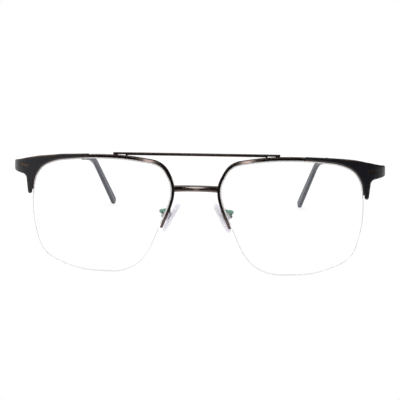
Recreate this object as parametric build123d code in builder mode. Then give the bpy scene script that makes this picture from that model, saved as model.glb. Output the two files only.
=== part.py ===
from build123d import *
from math import asin, cos, degrees, radians, sin, tan
import os

# Double bridge spectacle frame with half rims. Millimetres and degrees. +X is the wearer's left, +Y runs back
# to the ears, +Z is up. The frame stands on its lenses and temple tips, open, at z = 0, and the origin is
# below the middle of its bounding box. Only the +X side is drawn, and the other side is its mirror image.

# Front
lens_width = 54.05
lens_height = 44.1
lens_gap = 17.9
lens_thickness = 1.8
base_radius = 130.0
face_form = 6.0
optical_rise = 2.2

# Outline of the lens, as shares of its width and height, from the nose side and the bottom
lens_outline_shares = [
    (0.328, 1.0), (0.589, 1.0), (0.814, 0.967), (0.92, 0.912), (0.977, 0.813), (1.0, 0.645),
    (1.0, 0.449), (0.956, 0.191), (0.878, 0.095), (0.664, 0.0), (0.353, 0.0), (0.224, 0.084),
    (0.152, 0.21), (0.02, 0.6), (0.0, 0.693), (0.003, 0.787), (0.07, 0.948),
]
run_share = 0.48

# Half rim, and the liner and cord in its channel and in the lens's groove
rim_width = 1.05
rim_depth = 2.2
rim_proud = 0.1
rim_start_angle = 18.0
rim_end_angle = 189.5
groove_width = 0.6
groove_depth = 0.5
channel_depth = 0.4
strip_width = 0.5
seat_clearance = 0.03
cord_tail_angle = 3.0
strip_gap_angle = 0.5

# Brow plate and the inlay in its outer end
plate_run_share = 0.4218
plate_height_share = 0.3673
plate_over = 1.5
plate_drop = 0.65
plate_proud = 0.4
plate_sunk = 0.4
plate_ledge = 0.16
plate_end_margin = 1.0
plate_rim_gap = 0.25
inlay_end_margin = 3.85
inlay_length = 3.9
inlay_height = 0.8
inlay_sunk = 0.1
inlay_thickness = 0.4

# Outline of the brow plate. Across is from the lens's outer edge: inward it is a share of the plate's run
# over the lens, and outward a share of its reach to the side. Down and the radii are shares of its height.
plate_outline_shares = [
    (-1.0, 0.0, 0.012), (-0.5421, 0.033, 0.9), (-0.1266, 0.105, 0.9), (0.2, 0.165, 0.9),
    (1.0, 0.304, 0.02), (1.0, 0.498, 0.02), (0.2363, 0.5537, 0.12), (0.1647, 1.0, 0.047),
    (0.0098, 1.0, 0.047), (0.005, 0.88, 0.02), (-0.0827, 0.8, 0.02), (-0.3556, 0.44, 0.02),
    (-1.0, 0.23, 0.02),
]
inlay_drop_share = 0.3457
hinge_drop_share = 0.4259

# Wrap of the front round to the hinge, and the lug behind the brow plate
wrap_margin = 1.75
wrap_radius = 11.5
wrap_turn = 69.0
nose_sweep = 16.0
height_sweep = 20.0
lug_thickness = 1.8
lug_inset = 0.35
lug_length = 16.1
lug_height = 9.4
lug_run = 4.0

# Bridges
bar_end_share = 0.4061
bar_height = 0.9
bar_depth = 1.6
bar_back = 0.3
foot_length = 1.7
foot_height = 0.6
slot_length = 2.9
slot_height = 0.25
post_length = 0.7
bridge_rise = 11.9
bridge_height = 2.1
bridge_arch = 0.3
bridge_flare = 0.7
bridge_bite = 0.5
bridge_depth = 1.9
bridge_bow = 0.85
bridge_end_back = 0.07
bridge_edge = 0.3
line_drop = 0.5
line_width = 0.28
line_length = 9.5
line_depth = 0.2

# Hinge
hinge_inset = 2.6
hinge_behind = 1.95
knuckle_radius = 1.4
knuckle_height = 1.0
outer_knuckle_height = 0.75
knuckle_gap = 0.05
knuckle_clearance = 0.1
leaf_height = 2.2
leaf_thickness = 0.8
front_leaf_length = 2.4
front_leaf_width = 1.9
temple_leaf_length = 6.5
screw_radius = 0.6
screw_clearance = 0.04
screw_head_radius = 1.0
screw_head_height = 0.3
screw_slot = 0.25
open_gap = 0.95

# Temple, in side view from the hinge. The wearer's left one rests a little folded in.
temple_inward = 9.0
left_temple_turn = 1.7
blade_drop = 6.35
bend_reach = 87.5
bend_drop = 8.7
bend_radius = 24.0
tip_reach = 118.8
tip_end_radius = 2.1
arm_lead = 1.05
arm_thickness = 1.2
arm_front_height = 2.6
arm_rear_height = 1.9
arm_clearance = 0.12
core_height = 1.5
core_thickness = 1.0
core_end_margin = 7.0
core_clearance = 0.04
tip_start = 72.8
tip_thickness = 1.9
tip_neck_height = 2.9
tip_edge = 0.65

# Nose pads and their arms
pad_length = 13.0
pad_width = 7.0
pad_top_width = 5.2
pad_thickness = 1.8
pad_edge = 0.7
pad_inset = 0.75
pad_back = 8.2
pad_fall = 1.5
pad_splay = 29.5
pad_toe = 11.0
core_plate_length = 7.0
core_plate_width = 3.0
core_plate_thickness = 0.5
tab_length = 1.4
tab_width = 1.3
box_length = 3.0
box_width = 2.8
box_depth = 2.4
box_wall = 0.5
box_corner = 0.3
box_gap = 0.4
pad_pivot_depth = 0.9
tab_clearance = 0.1
pad_screw_radius = 0.35
pad_screw_head_radius = 0.6
pad_screw_head_height = 0.3
pad_screw_slot = 0.15
pad_arm_radius = 0.5
pad_arm_inset = 0.95
pad_arm_root = 0.5
pad_arm_rise = 2.4
pad_arm_back = 4.4
pad_arm_across = 0.3
pad_arm_fall = 0.6
pad_arm_out = 1.0
bend_share = 0.45

# Places that follow from the sizes. The datum line is the level of the lens's middle.
overrun = 30.0
lens_x = lens_gap / 2 + lens_width / 2
lens_edge = lens_gap / 2 + lens_width
datum = lens_height / 2
optical_height = datum + optical_rise
frame_height = lens_height + rim_width + bar_height
wrap_angle = degrees(asin((lens_width / 2 + wrap_margin) / base_radius))
turn_reach = base_radius - wrap_radius
turn_back = base_radius * cos(radians(face_form)) - turn_reach * cos(radians(face_form + wrap_angle))
side_angle = face_form + wrap_turn
side_back = turn_back - wrap_radius * cos(radians(side_angle))
hinge_back = side_back + hinge_behind
front_reach = base_radius * (1 - cos(radians(face_form)))
frame_depth = front_reach + hinge_back + cos(radians(temple_inward)) * (tip_reach + tip_end_radius)
vertex_y = front_reach - frame_depth / 2
centre_x = lens_x - base_radius * sin(radians(face_form))
centre_y = vertex_y + base_radius * cos(radians(face_form))
turn_x = centre_x + turn_reach * sin(radians(face_form + wrap_angle))
side_x = turn_x + wrap_radius * sin(radians(side_angle))
plate_run = plate_run_share * lens_width
plate_reach = side_x + plate_over - lens_edge
plate_height = plate_height_share * lens_height
plate_top = frame_height - plate_drop
hinge_z = plate_top - hinge_drop_share * plate_height
hinge_point = Vector(side_x - hinge_inset, vertex_y + hinge_back, hinge_z)
stop_y = hinge_point.Y - open_gap
front_plane = Plane(origin=(0, vertex_y + overrun, 0), x_dir=(1, 0, 0), z_dir=(0, -1, 0))
cut_depth = 2 * overrun


def front_y(x, z):
    """Place of the lens's front surface at a point of the front view."""
    return centre_y - (base_radius**2 - (x - centre_x) ** 2 - (z - optical_height) ** 2) ** 0.5


def corner_radii(points, share):
    """Largest even radii for a closed outline, each using this share of the shorter side at its corner."""
    radii = []
    for before, here, after in zip(points[-1:] + points[:-1], points, points[1:] + points[:1]):
        first = Vector(*here) - Vector(*before)
        second = Vector(*after) - Vector(*here)
        turn = radians(first.get_angle(second))
        radii.append(share * min(first.length, second.length) / tan(turn / 2))
    return radii


def lens_face(grow):
    """Front view of the lens, grown or shrunk by a distance."""
    corners = [
        (lens_gap / 2 + lens_width * across, lens_height * up)
        for across, up in lens_outline_shares
    ]
    with BuildSketch() as face:
        with BuildLine():
            FilletPolyline(*corners, radius=corner_radii(corners, run_share), close=True)
        make_face()
        if grow:
            offset(amount=grow)
    return face.sketch


def sector(start, end):
    """Wedge about the lens's middle in front view, from one angle round to another."""
    steps = 5
    middle = Vector(lens_x, datum)
    angles = [start + (end - start) * step / steps for step in range(steps + 1)]
    rays = [middle + Vector(lens_width, 0).rotate(Axis.Z, angle) for angle in angles]
    with BuildSketch() as wedge:
        with BuildLine():
            Polyline(middle, *rays, close=True)
        make_face()
    return wedge.sketch


def edge_band(outer, inner, start, end):
    """Front view of a strip along the lens's edge between two offsets, within a wedge."""
    with BuildSketch() as strip:
        add(lens_face(outer))
        add(lens_face(inner), mode=Mode.SUBTRACT)
        add(sector(start, end), mode=Mode.INTERSECT)
    return strip.sketch


def plate_face(shrink):
    """Front view of the brow plate, with the part inside the lens's edge still there."""
    corners = [
        (lens_edge + across * (plate_reach if across > 0 else plate_run), plate_top - plate_height * down)
        for across, down, radius in plate_outline_shares
    ]
    radii = [plate_height * radius for across, down, radius in plate_outline_shares]
    with BuildSketch() as face:
        with BuildLine():
            FilletPolyline(*corners, radius=radii, close=True)
        make_face()
        if shrink:
            offset(amount=-shrink)
    return face.sketch


def curved_slab(proud, sunk, wrapped=False):
    """Shell that follows the lens's front, from a distance proud of it to a distance sunk below it.

    A wrapped one turns back round the side of the head past wrap_start, and then runs straight.
    """
    tilt = radians(height_sweep)
    turn = radians(face_form)
    centre = Vector(centre_x, centre_y, optical_height)
    across = Vector(cos(turn), sin(turn), 0)
    forward = Vector(sin(turn) * cos(tilt), -cos(turn) * cos(tilt), sin(tilt))
    section = Plane(origin=centre, x_dir=across, z_dir=across.cross(forward))
    start = 90 - wrap_angle
    turn_centre = Vector(turn_reach, 0).rotate(Axis.Z, start)
    arc_turn = wrap_turn - wrap_angle
    with BuildPart() as slab:
        with BuildSketch(section):
            with BuildLine():
                ends = []
                for height in (proud, -sunk):
                    front = CenterArc((0, 0), base_radius + height, start, wrap_angle + nose_sweep)
                    last = front @ 0
                    if wrapped:
                        side = CenterArc(turn_centre, wrap_radius + height, start - arc_turn, arc_turn)
                        last = Line(side @ 0, (side @ 0) - (side % 0) * lug_run) @ 1
                    ends.append((last, front @ 1))
                Line(ends[0][0], ends[1][0])
                Line(ends[0][1], ends[1][1])
            make_face()
        revolve(axis=Axis(centre, across), revolution_arc=2 * height_sweep)
    return slab.part


def write_pair(name, shape, left_turn=0):
    """Write the +X piece as the left one, turned in at the hinge, and its mirror image as the right one."""
    with BuildPart() as other:
        mirror(shape, about=Plane.YZ)
    left = shape.rotate(Axis(hinge_point, (0, 0, 1)), left_turn)
    for side, piece in (("left", left), ("right", other.part)):
        piece.label = f"{side}_{name}"
        export_step(piece, f"parts/{side}_{name}.step")


os.makedirs("parts", exist_ok=True)

# Lens, with a groove all round its edge that faces the channel in the rim
groove_middle = lens_thickness / 2
with BuildPart() as groove:
    with BuildSketch(front_plane):
        add(lens_face(channel_depth))
        add(lens_face(-groove_depth), mode=Mode.SUBTRACT)
    extrude(amount=cut_depth)
    add(curved_slab(groove_width / 2 - groove_middle, groove_middle + groove_width / 2), mode=Mode.INTERSECT)

with BuildPart() as lens:
    with BuildSketch(front_plane):
        add(lens_face(0))
    extrude(amount=cut_depth)
    add(curved_slab(0, lens_thickness), mode=Mode.INTERSECT)
    add(groove.part, mode=Mode.SUBTRACT)
write_pair("lens", lens.part)

# Liner between rim and lens, and the cord that holds the lens from below
strip_slab = curved_slab(strip_width / 2 - groove_middle, groove_middle + strip_width / 2)
liner_start = rim_start_angle + cord_tail_angle + strip_gap_angle
liner_end = rim_end_angle - cord_tail_angle - strip_gap_angle
with BuildPart() as rim_liner:
    with BuildSketch(front_plane):
        add(edge_band(channel_depth - seat_clearance, seat_clearance - groove_depth, liner_start, liner_end))
    extrude(amount=cut_depth)
    add(strip_slab, mode=Mode.INTERSECT)
write_pair("rim_liner", rim_liner.part)

cord_start = rim_end_angle - cord_tail_angle
cord_end = 360 + rim_start_angle + cord_tail_angle
with BuildPart() as lens_cord:
    with BuildSketch(front_plane):
        add(edge_band(-seat_clearance, seat_clearance - groove_depth, cord_start, cord_end))
    extrude(amount=cut_depth)
    add(strip_slab, mode=Mode.INTERSECT)
write_pair("lens_cord", lens_cord.part)

# Inlay, a dash of metal sunk in a slot of the brow plate
inlay_x = side_x + plate_proud - inlay_end_margin - inlay_length / 2
inlay_middle = (inlay_x, plate_top - inlay_drop_share * plate_height)
inlay_floor = inlay_sunk + inlay_thickness - plate_proud
with BuildPart() as inlay:
    with BuildSketch(front_plane):
        with Locations(inlay_middle):
            SlotOverall(inlay_length, inlay_height)
    extrude(amount=cut_depth)
    add(curved_slab(plate_proud - inlay_sunk, inlay_floor, wrapped=True), mode=Mode.INTERSECT)
write_pair("inlay", inlay.part)

# Brow plate over the outer top corner of the rim, with a low ledge round its face
with BuildPart() as inlay_slot:
    with BuildSketch(front_plane):
        with Locations(inlay_middle):
            SlotOverall(inlay_length + 2 * seat_clearance, inlay_height + 2 * seat_clearance)
    extrude(amount=cut_depth)
    add(curved_slab(2 * plate_proud, inlay_floor, wrapped=True), mode=Mode.INTERSECT)

with BuildPart() as plate_face_layer:
    with BuildSketch(front_plane):
        add(plate_face(plate_ledge))
        add(lens_face(plate_rim_gap + plate_ledge), mode=Mode.SUBTRACT)
    extrude(amount=cut_depth)
    add(curved_slab(plate_proud, 0, wrapped=True), mode=Mode.INTERSECT)

with BuildPart() as brow_plate:
    with BuildSketch(front_plane):
        add(plate_face(0))
        add(lens_face(plate_rim_gap), mode=Mode.SUBTRACT)
    extrude(amount=cut_depth)
    add(curved_slab(plate_proud - plate_ledge, plate_sunk, wrapped=True), mode=Mode.INTERSECT)
    add(plate_face_layer.part)
    split(bisect_by=Plane.XZ.offset(plate_end_margin - stop_y))
    add(inlay_slot.part, mode=Mode.SUBTRACT)
write_pair("brow_plate", brow_plate.part)

# Half rim, let in behind the brow plate
with BuildPart() as half_rim:
    with BuildSketch(front_plane):
        add(edge_band(rim_width, seat_clearance, rim_start_angle, rim_end_angle))
    extrude(amount=cut_depth)
    add(curved_slab(rim_proud, rim_depth - rim_proud), mode=Mode.INTERSECT)
    add(groove.part, mode=Mode.SUBTRACT)
    add(brow_plate.part, mode=Mode.SUBTRACT)
write_pair("half_rim", half_rim.part)

# Lug behind the brow plate, brazed to the rim and wrapped back to the hinge
with BuildPart() as end_piece:
    with BuildSketch(front_plane):
        with Locations((side_x, plate_top)):
            Rectangle(2 * lug_length, 2 * lug_height)
        add(plate_face(lug_inset), mode=Mode.INTERSECT)
        add(lens_face(rim_width), mode=Mode.SUBTRACT)
    extrude(amount=cut_depth)
    add(curved_slab(-plate_sunk, plate_sunk + lug_thickness, wrapped=True), mode=Mode.INTERSECT)
    split(bisect_by=Plane.XZ.offset(-stop_y))
    with Locations(hinge_point):
        Cylinder(knuckle_radius + knuckle_clearance, overrun, mode=Mode.SUBTRACT)
write_pair("end_piece", end_piece.part)

# Upper bar, straight, on a foot and a post at each end that follow the rims' top edges
rim_tops = mirror(lens_face(rim_width), about=Plane.YZ) + lens_face(rim_width)
half_bar = lens_gap / 2 + bar_end_share * lens_width
bar_rear = front_y(half_bar, lens_height) + bar_back + bar_depth
post_x = half_bar - foot_length - slot_length - post_length / 2
bar_plane = Plane(origin=(0, bar_rear, 0), x_dir=(1, 0, 0), z_dir=(0, -1, 0))
with BuildPart() as top_bar:
    with BuildSketch(bar_plane):
        with Locations((0, frame_height)):
            Rectangle(2 * half_bar, bar_height, align=(Align.CENTER, Align.MAX))
        for side in (-1, 1):
            with Locations((side * (half_bar - foot_length / 2), frame_height - bar_height)):
                Rectangle(foot_length, foot_height, align=(Align.CENTER, Align.MAX))
            with Locations((side * post_x, frame_height - bar_height)):
                Rectangle(post_length, foot_height, align=(Align.CENTER, Align.MAX))
            with Locations((side * (half_bar - foot_length - slot_length / 2), frame_height - bar_height)):
                Rectangle(slot_length, 2 * slot_height, mode=Mode.SUBTRACT)
        add(rim_tops, mode=Mode.SUBTRACT)
    extrude(amount=bar_depth)
top_bar.part.label = "top_bar"
export_step(top_bar.part, "parts/top_bar.step")

# Lower bridge, bowed forward and arched, between the nose sides of the rims
bridge_top = datum + bridge_rise
bridge_floor = bridge_top - bridge_height
bridge_reach = lens_gap / 2 + bridge_bite
flare_x = lens_gap / 2 - rim_width - bridge_flare
bridge_end_y = front_y(bridge_reach, bridge_top) + bridge_end_back
bow_points = [(-bridge_reach, bridge_end_y), (0, bridge_end_y - bridge_bow), (bridge_reach, bridge_end_y)]
with BuildPart() as bridge:
    with BuildSketch(Plane.XY.offset(bridge_floor - bridge_flare)):
        with BuildLine():
            bow = ThreePointArc(*bow_points)
            hollow = ThreePointArc(*[(x, y + bridge_depth) for x, y in bow_points])
            Line(bow @ 0, hollow @ 0)
            Line(bow @ 1, hollow @ 1)
        make_face()
    extrude(amount=bridge_flare + bridge_height + bridge_arch)
    with BuildSketch(front_plane):
        with BuildLine():
            under = ThreePointArc(
                (-flare_x, bridge_floor),
                (0, bridge_floor + bridge_arch),
                (flare_x, bridge_floor),
            )
            flares = [
                TangentArc(under @ 1, (bridge_reach, bridge_floor - bridge_flare), tangent=under % 1),
                TangentArc(under @ 0, (-bridge_reach, bridge_floor - bridge_flare), tangent=(under % 0) * -1),
            ]
            over = ThreePointArc(
                (-bridge_reach, bridge_top),
                (0, bridge_top + bridge_arch),
                (bridge_reach, bridge_top),
            )
            Line(flares[0] @ 1, over @ 1)
            Line(flares[1] @ 1, over @ 0)
        make_face()
    extrude(amount=cut_depth, mode=Mode.INTERSECT)
    fillet(bridge.edges().sort_by(SortBy.LENGTH)[-4:], radius=bridge_edge)
    with BuildSketch(front_plane):
        add(rim_tops)
    extrude(amount=cut_depth, mode=Mode.SUBTRACT)
    with BuildSketch(Plane.XY.offset(bridge_top + bridge_arch - line_drop)):
        with BuildLine():
            edge = ThreePointArc(*bow_points)
        trace(edge, line_width=2 * line_depth)
        Rectangle(line_length, frame_depth, mode=Mode.INTERSECT)
    extrude(amount=-line_width, mode=Mode.SUBTRACT)
bridge.part.label = "bridge"
export_step(bridge.part, "parts/bridge.step")

# Hinge: two outer knuckles on the front, one between them on the temple, and a slotted screw as the pin
middle_half = knuckle_height / 2
outer_floor = middle_half + knuckle_gap
barrel_half = outer_floor + outer_knuckle_height
leaf_inner_x = hinge_point.X + (leaf_thickness - front_leaf_width) / 2
with BuildPart() as lug_room:
    add(curved_slab(plate_proud, plate_sunk + lug_thickness, wrapped=True))
    split(bisect_by=Plane.XZ.offset(-stop_y))
    with Locations(hinge_point):
        Cylinder(knuckle_radius + knuckle_clearance, overrun, mode=Mode.SUBTRACT)

with BuildPart() as front_hinge:
    with Locations(hinge_point):
        Cylinder(knuckle_radius, 2 * barrel_half)
    with Locations((leaf_inner_x, hinge_point.Y, hinge_point.Z)):
        Box(front_leaf_width, front_leaf_length, 2 * barrel_half, align=(Align.MIN, Align.MAX, Align.CENTER))
    with Locations(hinge_point):
        Cylinder(screw_radius, overrun, mode=Mode.SUBTRACT)
        Cylinder(knuckle_radius + knuckle_clearance, 2 * outer_floor, mode=Mode.SUBTRACT)
    add(lug_room.part, mode=Mode.SUBTRACT)
write_pair("front_hinge", front_hinge.part)

screw_foot = Plane(origin=hinge_point - Vector(0, 0, barrel_half))
with BuildPart() as hinge_screw:
    with BuildSketch(screw_foot):
        Circle(screw_radius)
    extrude(amount=2 * barrel_half)
    with BuildSketch(screw_foot.offset(2 * barrel_half)):
        Circle(screw_head_radius)
    extrude(amount=screw_head_height)
    with BuildSketch(screw_foot.offset(2 * barrel_half + screw_head_height)):
        Rectangle(2 * screw_head_radius, screw_slot)
    extrude(amount=-screw_slot, mode=Mode.SUBTRACT)
write_pair("hinge_screw", hinge_screw.part)

# The temple is drawn in side view: x runs back along it, y up, and the sketch plane's normal points outward
inward = radians(temple_inward)
backward = Vector(-sin(inward), cos(inward), 0)
outward = Vector(cos(inward), sin(inward), 0)
temple_side = Plane(origin=hinge_point, x_dir=backward, z_dir=outward)
arm_inner = knuckle_radius + arm_clearance
arm_middle = temple_side.offset(arm_inner + arm_thickness / 2)
blade_end = Vector(tip_start, -blade_drop)
bend_point = Vector(bend_reach, -bend_drop)
neck_way = (bend_point - blade_end).normalized()
neck_up = neck_way.rotate(Axis.Z, 90)
with BuildLine() as arm_line:
    TangentArc(blade_end, (0, 0), tangent=-neck_way)
arm_way = -(arm_line.line % 1)
arm_up = arm_way.rotate(Axis.Z, 90)
tip_middle = Vector(tip_reach, tip_end_radius - hinge_point.Z)
tip_way = (tip_middle - bend_point).normalized()
bend_half_turn = radians(neck_way.get_angle(tip_way)) / 2
bend_end = bend_point + tip_way * bend_radius * tan(bend_half_turn)

with BuildPart() as temple_hinge:
    with Locations(hinge_point):
        Cylinder(knuckle_radius, knuckle_height)
    with BuildSketch(temple_side.offset(arm_inner - leaf_thickness)):
        with BuildLine():
            Polyline(
                arm_up * leaf_height / 2,
                arm_way * temple_leaf_length + arm_up * leaf_height / 2,
                arm_way * temple_leaf_length - arm_up * leaf_height / 2,
                arm_up * -leaf_height / 2,
                close=True,
            )
        make_face()
    extrude(amount=leaf_thickness)
    with Locations(hinge_point):
        Cylinder(screw_radius + screw_clearance, overrun, mode=Mode.SUBTRACT)
    for side in (-1, 1):
        with Locations(hinge_point + Vector(0, 0, side * (middle_half + overrun / 2))):
            Cylinder(knuckle_radius + knuckle_clearance, overrun, mode=Mode.SUBTRACT)
write_pair("temple_hinge", temple_hinge.part, left_temple_turn)

# Arm: a tapered, slightly arched blade, and from its end a core wire that follows the bend into the tip
blade_front = arm_way * -arm_lead
blade_middle = arm_line.line @ 0.5
middle_height = (arm_front_height + arm_rear_height) / 2
core_end = tip_middle - tip_way * core_end_margin
with BuildPart() as temple_arm:
    with BuildSketch(arm_middle):
        with BuildLine():
            edges = []
            for side in (-1, 1):
                front = blade_front + arm_up * side * arm_front_height / 2
                middle = blade_middle + arm_up * side * middle_height / 2
                edges.append(ThreePointArc(front, middle, blade_end + neck_up * side * arm_rear_height / 2))
            Line(edges[0] @ 0, edges[1] @ 0)
            Line(edges[0] @ 1, edges[1] @ 1)
        make_face()
    extrude(amount=arm_thickness / 2, both=True)
    with BuildSketch(arm_middle):
        with BuildLine() as core_line:
            FilletPolyline(blade_end - neck_way * arm_lead, bend_point, core_end, radius=bend_radius)
        trace(core_line.line, line_width=core_height)
    extrude(amount=core_thickness / 2, both=True)
write_pair("temple_arm", temple_arm.part, left_temple_turn)

# Tip: a neck round the bend and a paddle that widens to the end, with a slot for the core
with BuildPart() as temple_tip:
    with BuildSketch(arm_middle):
        with BuildLine() as tip_line:
            FilletPolyline(blade_end, bend_point, bend_end + tip_way * tip_end_radius, radius=bend_radius)
        trace(tip_line.line, line_width=tip_neck_height)
        with BuildSketch(mode=Mode.PRIVATE) as paddle_ends:
            with Locations(bend_end + tip_way * tip_end_radius):
                Circle(tip_neck_height / 2)
            with Locations(tip_middle):
                Circle(tip_end_radius)
        make_hull(paddle_ends.sketch.edges())
    extrude(amount=tip_thickness / 2, both=True)
    tip_sides = temple_tip.faces().filter_by(Axis((0, 0, 0), outward))
    fillet(tip_sides.edges(), radius=tip_edge)
    with BuildSketch(arm_middle):
        with BuildLine() as slot_line:
            FilletPolyline(
                blade_end - neck_way * arm_lead,
                bend_point,
                core_end + tip_way * core_clearance,
                radius=bend_radius,
            )
        trace(slot_line.line, line_width=core_height + 2 * core_clearance)
    extrude(amount=core_thickness / 2 + core_clearance, both=True, mode=Mode.SUBTRACT)
write_pair("temple_tip", temple_tip.part, left_temple_turn)

# The nose pad is drawn on its middle plane: x runs down along it, and the normal points to the nose
splay = radians(pad_splay)
toe = radians(pad_toe)
pad_down = Vector(sin(splay), 0, -cos(splay))
pad_normal = Vector(-cos(splay) * cos(toe), sin(toe), -sin(splay) * cos(toe))
pad_point = Vector(lens_gap / 2 + pad_inset, vertex_y + pad_back, datum - pad_fall)
pad_plane = Plane(origin=pad_point, x_dir=pad_down, z_dir=pad_normal)
pad_half = pad_thickness / 2
mouth = pad_half + box_gap
pivot = mouth + pad_pivot_depth
pivot_plane = Plane(origin=pad_point - pad_normal * pivot, x_dir=pad_down, z_dir=pad_down.cross(pad_normal))
tab_half = tab_length / 2

with BuildPart() as pad_core:
    with BuildSketch(pad_plane):
        SlotOverall(core_plate_length, core_plate_width)
    extrude(amount=core_plate_thickness / 2, both=True)
    with BuildSketch(pivot_plane):
        with Locations((0, pivot / 2)):
            Rectangle(tab_length, pivot)
        Circle(tab_half)
    extrude(amount=tab_width / 2, both=True)
    with BuildSketch(pivot_plane):
        Circle(pad_screw_radius + screw_clearance)
    extrude(amount=tab_width, both=True, mode=Mode.SUBTRACT)
write_pair("pad_core", pad_core.part)

# The pad itself is moulded round the core
top_radius = pad_top_width / 2
with BuildPart() as nose_pad:
    with BuildSketch(pad_plane):
        with BuildSketch(pad_plane, mode=Mode.PRIVATE) as pad_ends:
            with Locations((top_radius - pad_length / 2, 0)):
                Circle(top_radius)
            with Locations((pad_length / 2 - pad_width / 2, 0)):
                Circle(pad_width / 2)
        make_hull(pad_ends.sketch_local.edges())
    extrude(amount=pad_half, both=True)
    fillet(nose_pad.faces().filter_by(Axis((0, 0, 0), pad_normal)).edges(), radius=pad_edge)
    add(pad_core.part, mode=Mode.SUBTRACT)
write_pair("nose_pad", nose_pad.part)

# Box at the end of the pad arm, open to the pad, and its screw, whose head faces back
with BuildPart() as pad_box:
    with BuildSketch(pad_plane.offset(-mouth)):
        RectangleRounded(box_length, box_width, box_corner)
    extrude(amount=-box_depth)
    with BuildSketch(pad_plane.offset(-mouth)):
        Rectangle(box_length - 2 * box_wall, tab_width + 2 * tab_clearance)
    extrude(amount=box_wall - box_depth, mode=Mode.SUBTRACT)
    with BuildSketch(pivot_plane):
        Circle(pad_screw_radius)
    extrude(amount=box_width, both=True, mode=Mode.SUBTRACT)
write_pair("pad_box", pad_box.part)

with BuildPart() as pad_screw:
    with BuildSketch(pivot_plane):
        Circle(pad_screw_radius)
    extrude(amount=box_width / 2, both=True)
    with BuildSketch(pivot_plane.offset(box_width / 2)):
        Circle(pad_screw_head_radius)
    extrude(amount=pad_screw_head_height)
    with BuildSketch(pivot_plane.offset(box_width / 2 + pad_screw_head_height)):
        Rectangle(2 * pad_screw_head_radius, pad_screw_slot)
    extrude(amount=-pad_screw_slot, mode=Mode.SUBTRACT)
write_pair("pad_screw", pad_screw.part)

# Pad arm: a wire from the back of the rim, out behind the lens and round to the box
root_x = lens_gap / 2 + pad_arm_inset
root_z = datum + pad_arm_rise
arm_root = Vector(root_x, front_y(root_x, root_z) + rim_depth - rim_proud - pad_arm_root, root_z)
arm_turn = Vector(root_x + pad_arm_across, vertex_y + pad_arm_back, root_z)
arm_end = pad_point - pad_normal * (mouth + box_depth - box_wall / 2)
arm_loop = pad_point - pad_normal * (mouth + box_depth + pad_arm_out)
arm_corner = Vector(arm_loop.X, arm_turn.Y + pad_arm_fall, arm_turn.Z - pad_arm_fall)
wire_points = [arm_root, arm_turn, arm_corner, arm_loop, arm_end]
with BuildPart() as pad_arm:
    with BuildLine() as wire:
        FilletPolyline(*wire_points, radius=corner_radii(wire_points, bend_share)[1:-1])
    with BuildSketch(Plane(origin=arm_root, z_dir=arm_turn - arm_root)):
        Circle(pad_arm_radius)
    sweep(path=wire.wires()[0])
    add(half_rim.part, mode=Mode.SUBTRACT)
    add(pad_box.part, mode=Mode.SUBTRACT)
write_pair("pad_arm", pad_arm.part)
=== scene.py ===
# %% [markdown]
# # Dressing a pair of double bridge glasses
# The frame came from CAD as exact solids, one for every part that a workshop would make: rims, lenses,
# brow plates, bridges, hinges, temples and nose pads. This lesson gives them their finishes, rebuilds
# the few parts that are soft or that need a finer edge, and sets the light and the camera. The packed
# frame is loaded first. Each CAD part sits at the origin with its place in its mesh, so a new piece
# that takes its points from a CAD part fits without any moving.

# %% Load the frame
from math import acos, atan2, cos, pi, radians, sin

import bmesh
import bpy
from mathutils import Matrix, Vector
from mathutils.bvhtree import BVHTree
from mathutils.kdtree import KDTree


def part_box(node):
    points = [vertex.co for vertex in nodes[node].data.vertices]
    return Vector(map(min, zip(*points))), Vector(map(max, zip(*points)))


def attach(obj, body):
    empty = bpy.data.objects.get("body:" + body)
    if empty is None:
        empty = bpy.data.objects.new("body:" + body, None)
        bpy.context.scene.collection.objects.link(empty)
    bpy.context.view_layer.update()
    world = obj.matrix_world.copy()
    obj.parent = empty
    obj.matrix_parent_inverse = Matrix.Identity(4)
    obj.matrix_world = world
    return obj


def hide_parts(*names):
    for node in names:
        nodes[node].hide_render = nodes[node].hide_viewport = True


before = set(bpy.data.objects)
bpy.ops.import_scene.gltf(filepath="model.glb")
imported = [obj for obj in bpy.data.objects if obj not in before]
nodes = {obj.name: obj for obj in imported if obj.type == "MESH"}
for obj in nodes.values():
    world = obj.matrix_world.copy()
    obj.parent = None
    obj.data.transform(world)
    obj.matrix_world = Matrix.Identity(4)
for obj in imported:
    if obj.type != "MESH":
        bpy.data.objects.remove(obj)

bpy.context.view_layer.update()
print("CAD parts:", len(nodes))

# %% [markdown]
# Every value below is in metres, and sizes that a maker would know are given in millimetres. The lens
# is a slice of a ball: its front follows a radius of 130 mm, and it is turned out 6 degrees to follow
# the face. The middle of that ball is worked out from the lens's own box, and later steps ask it how
# deep a point of the front lies.

# %% Sizes of the real thing
mm = 0.001
lens_curve = 130 * mm
lens_width = 54.05 * mm
face_form = radians(6)
optical_rise = 2.2 * mm
sides = {"left": 1, "right": -1}

lens_low, lens_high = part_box("left_lens")
lens_middle = Vector((lens_high.x - lens_width / 2, 0, (lens_low.z + lens_high.z) / 2))
curve_centre = Vector((
    lens_middle.x - lens_curve * sin(face_form),
    lens_low.y + lens_curve,
    lens_middle.z + optical_rise,
))
print("lens curve centre, mm:", [round(value / mm, 2) for value in curve_centre])

# %% [markdown]
# # Camera
# The photograph was taken from the front, a little to the wearer's left and 11 degrees above. Its view
# was solved from pairs of points that mirror each other, which gave the camera's place and three turns.
# The camera is built from its own three directions: right, up and back.

# %% Camera
camera_place = Vector((15.771, -353.35, 84.605)) * mm
camera_yaw, camera_pitch, camera_roll = radians(-2.8355), radians(10.992), radians(0.589)
focal_length = 70.66  # on Blender's sensor of 36 mm
nearest_seen = 10 * mm

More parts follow.
